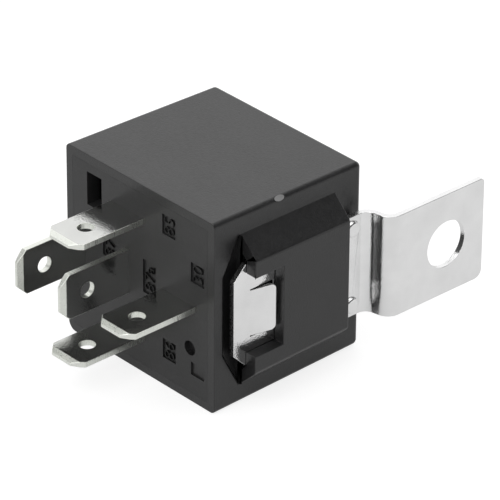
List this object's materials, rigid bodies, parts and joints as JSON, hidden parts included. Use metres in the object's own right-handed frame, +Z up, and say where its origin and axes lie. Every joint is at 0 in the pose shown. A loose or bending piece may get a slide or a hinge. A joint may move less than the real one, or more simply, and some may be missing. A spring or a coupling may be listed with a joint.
{
  "type": "automotive relay",
  "caption": "Small black plug-in changeover relay for vehicles, with flat blade terminals and a folded steel mounting bracket with a screw hole.",
  "frame": {"origin": "middle of the pin face, where the base plate closes the cover", "axes": "-Y the way the blades point, +Y the way the bracket's tab points, +X the side that carries the bracket, +Z up as in the picture"},
  "size_m": [0.0327, 0.0524, 0.027],
  "materials": {
    "cover_plastic": "fine grained black moulded plastic",
    "plate_plastic": "smooth black moulded plastic",
    "tinned_brass": "bright tin plating on stamped brass",
    "plated_steel": "bright plated steel sheet",
    "magnet_iron": "dull nickel plated iron",
    "bobbin_plastic": "natural moulded plastic",
    "copper_wire": "enamelled copper wire",
    "contact_silver": "silver alloy",
    "resistor_coat": "lacquered resistor body",
    "tinned_wire": "tinned wire",
    "rivet_brass": "plain brass",
    "spring_bronze": "rolled spring bronze"
  },
  "bodies": {
    "housing": {"cover": "cover_plastic", "base_plate": "plate_plastic", "terminal_30": "tinned_brass", "terminal_85": "tinned_brass", "terminal_86": "tinned_brass", "terminal_87": "tinned_brass", "terminal_87a": "tinned_brass", "bracket": "plated_steel", "yoke": "magnet_iron", "core": "magnet_iron", "bobbin": "bobbin_plastic", "coil_winding": "copper_wire", "fixed_contact_87": "contact_silver", "fixed_contact_87a": "contact_silver", "resistor_body": "resistor_coat", "resistor_leads": "tinned_wire", "coil_lead_85": "copper_wire", "coil_lead_86": "copper_wire"},
    "armature": {"armature": "magnet_iron", "armature_rivets": "rivet_brass", "contact_spring": "spring_bronze", "moving_contact": "contact_silver"}
  },
  "joints": [
    {"name": "armature_hinge", "type": "hinge", "parent": "housing", "child": "armature", "pos_m": [0.0118, 0.019, 0], "axis": [0, 0, 1], "range_deg": [0, 2.48], "stiffness_Nm_per_rad": 0.02, "springref_deg": -5.73}
  ]
}
